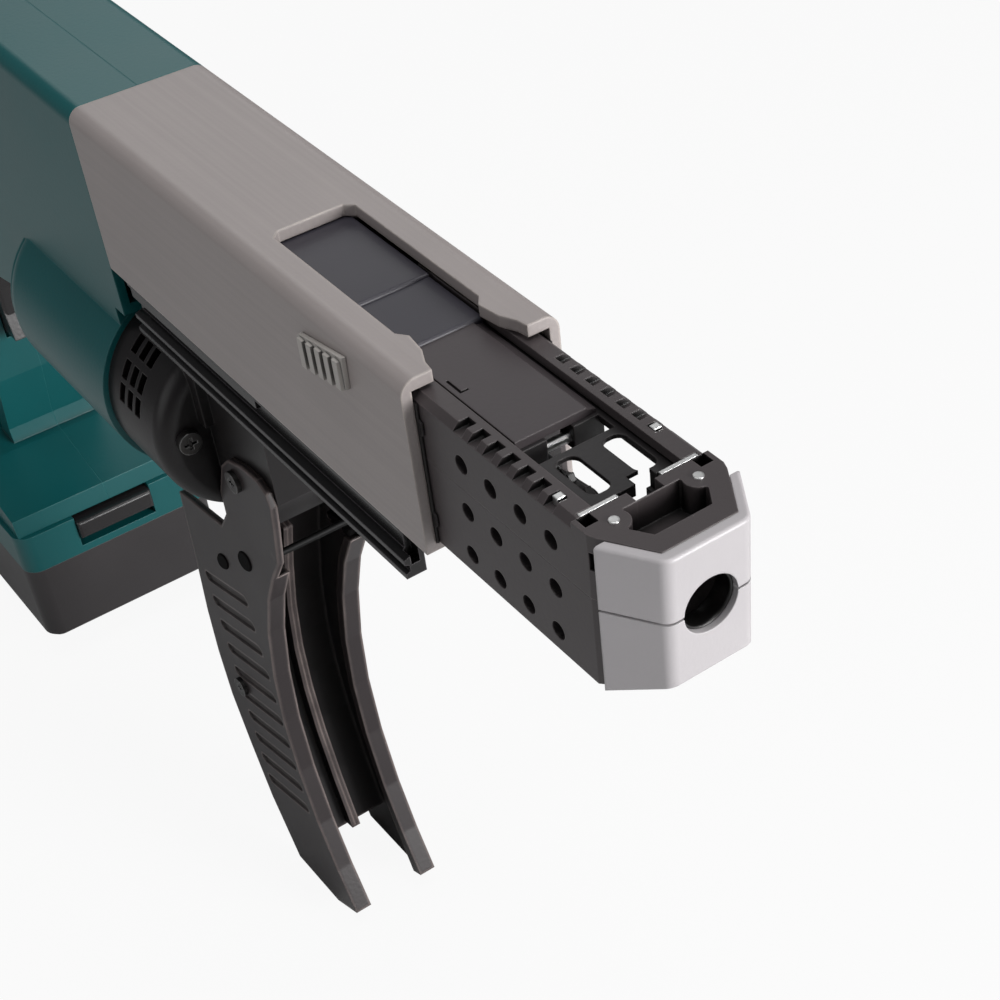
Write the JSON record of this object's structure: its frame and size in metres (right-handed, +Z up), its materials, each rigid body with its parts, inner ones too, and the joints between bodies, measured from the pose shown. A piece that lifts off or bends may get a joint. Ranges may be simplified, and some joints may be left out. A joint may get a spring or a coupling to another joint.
{
  "type": "autofeed screwdriver",
  "caption": "Cordless autofeed screwdriver with a sliding strip feeder, notched depth stopper, gear train, pistol grip and slide-on battery.",
  "frame": {"origin": "centre of the nose hole on the front face of the nose", "axes": "+X forward out of the nose along the bit, +Y to the tool's left, +Z up"},
  "size_m": [0.47, 0.0823, 0.2743],
  "materials": {
    "cast_metal": "cast aluminium",
    "cell_wrap": "shrink wrap on the cells",
    "charcoal_plastic": "fine-textured moulded plastic",
    "copper": "copper windings and carbon",
    "dark_steel": "blackened hardened steel",
    "glossy_black": "smooth black plastic",
    "grey_plastic": "warm grey satin plastic",
    "light_plastic": "pale grey satin plastic",
    "soft_rubber": "soft black rubber",
    "steel": "bright machined steel",
    "teal_plastic": "dark teal satin plastic",
    "window_plastic": "dark bluish clear-coat plastic"
  },
  "bodies": {
    "tool": {"gear_housing": "charcoal_plastic", "casing": "grey_plastic", "side_rails": "glossy_black", "guide_right": "charcoal_plastic", "guide_left": "charcoal_plastic", "guide_pin": "steel", "guide_screws": "steel", "cover_screws": "steel", "spindle_bearings": "steel", "idler_pins": "steel", "motor_bearings": "steel", "motor_can": "dark_steel", "magnets": "dark_steel", "motor_bracket": "cast_metal", "brushes": "copper", "housing_right": "teal_plastic", "housing_left": "teal_plastic", "housing_screws": "dark_steel", "grip_pads": "soft_rubber", "switch_body": "glossy_black", "terminal_block": "glossy_black", "belt_hook": "steel", "hook_screw": "dark_steel", "return_spring": "steel"},
    "feeder": {"feeder_box": "charcoal_plastic", "deck_plate": "charcoal_plastic", "panel_front": "window_plastic", "panel_rear": "window_plastic", "feeder_pins": "steel"},
    "stopper": {"base_upper": "charcoal_plastic", "base_lower": "charcoal_plastic", "nose_shell_upper": "light_plastic", "nose_shell_lower": "grey_plastic", "steel_plate": "steel", "nose_pins": "steel", "notch_stops": "steel"},
    "sprocket_wheels": {"sprocket": "charcoal_plastic", "ratchet_wheel": "dark_steel", "sprocket_shaft": "steel"},
    "pawl_arm": {"pawl": "dark_steel"},
    "side_release": {"release_lever": "light_plastic"},
    "rotor": {"armature": "dark_steel", "fan": "charcoal_plastic"},
    "low_idler": {"idler_low": "dark_steel"},
    "high_idler": {"idler_high": "dark_steel"},
    "drive": {"spindle": "steel", "spindle_gear": "dark_steel", "bit_holder": "steel", "driver_bit": "dark_steel"},
    "trigger_key": {"trigger": "glossy_black"},
    "direction_bar": {"direction_lever": "glossy_black"},
    "lock_pin": {"lock_button": "glossy_black"},
    "depth_wheel": {"depth_knob": "charcoal_plastic"},
    "depth_stop": {"depth_rod": "steel"},
    "battery": {"battery_lid": "teal_plastic", "battery_case": "charcoal_plastic", "battery_cells": "cell_wrap"},
    "battery_latch": {"battery_button": "glossy_black"}
  },
  "joints": [
    {"name": "feeder_slide", "type": "slide", "parent": "tool", "child": "feeder", "axis": [1, 0, 0], "range_m": [-0.05, 0], "stiffness_N_per_m": 300, "springref_m": 0.03, "deforming": ["return_spring"]},
    {"name": "stopper_slide", "type": "slide", "parent": "feeder", "child": "stopper", "axis": [1, 0, 0], "range_m": [0, 0.03]},
    {"name": "sprocket_turn", "type": "hinge", "parent": "feeder", "child": "sprocket_wheels", "pos_m": [-0.0495, 0, -0.0113], "axis": [0, 1, 0], "range_deg": [-62, 2]},
    {"name": "pawl_tilt", "type": "hinge", "parent": "feeder", "child": "pawl_arm", "pos_m": [-0.063, 0, -0.009], "axis": [0, 1, 0], "range_deg": [0, 6], "stiffness_Nm_per_rad": 0.05, "springref_deg": -17.19},
    {"name": "release_slide", "type": "slide", "parent": "tool", "child": "side_release", "axis": [-1, 0, 0], "range_m": [0, 0.004], "stiffness_N_per_m": 300, "springref_m": -0.002},
    {"name": "rotor_spin", "type": "hinge", "parent": "tool", "child": "rotor", "pos_m": [-0.25, 0, -0.067], "axis": [1, 0, 0], "continuous": true},
    {"name": "low_idler_spin", "type": "hinge", "parent": "tool", "child": "low_idler", "pos_m": [-0.2, 0, -0.0495], "axis": [1, 0, 0], "continuous": true},
    {"name": "high_idler_spin", "type": "hinge", "parent": "tool", "child": "high_idler", "pos_m": [-0.2, 0, -0.0255], "axis": [1, 0, 0], "continuous": true},
    {"name": "drive_spin", "type": "hinge", "parent": "tool", "child": "drive", "pos_m": [-0.2, 0, 0], "axis": [1, 0, 0], "continuous": true},
    {"name": "trigger_pull", "type": "slide", "parent": "tool", "child": "trigger_key", "axis": [-1, 0, 0], "range_m": [0, 0.005], "stiffness_N_per_m": 600, "springref_m": -0.004},
    {"name": "direction_shift", "type": "slide", "parent": "tool", "child": "direction_bar", "axis": [0, 1, 0], "range_m": [-0.0025, 0.0025]},
    {"name": "lock_press", "type": "slide", "parent": "tool", "child": "lock_pin", "axis": [0, -1, 0], "range_m": [0, 0.0015], "stiffness_N_per_m": 400, "springref_m": -0.002},
    {"name": "depth_turn", "type": "hinge", "parent": "tool", "child": "depth_wheel", "pos_m": [-0.2325, 0.0132, -0.0145], "axis": [1, 0, 0], "range_deg": [0, 720]},
    {"name": "depth_travel", "type": "slide", "parent": "tool", "child": "depth_stop", "axis": [1, 0, 0], "range_m": [0, 0.0065]},
    {"name": "battery_slide", "type": "slide", "parent": "tool", "child": "battery", "axis": [1, 0, 0], "range_m": [0, 0.06]},
    {"name": "latch_press", "type": "slide", "parent": "battery", "child": "battery_latch", "axis": [-1, 0, 0], "range_m": [0, 0.001], "stiffness_N_per_m": 600, "springref_m": -0.002}
  ],
  "couplings": [
    {"joint": "low_idler_spin", "follows": "rotor_spin", "ratio": -0.34615},
    {"joint": "high_idler_spin", "follows": "rotor_spin", "ratio": 0.40909},
    {"joint": "drive_spin", "follows": "rotor_spin", "ratio": -0.31034},
    {"joint": "sprocket_turn", "follows": "feeder_slide", "rad_per_m": 20.944},
    {"joint": "depth_travel", "follows": "depth_turn", "m_per_rad": 0.0005}
  ]
}
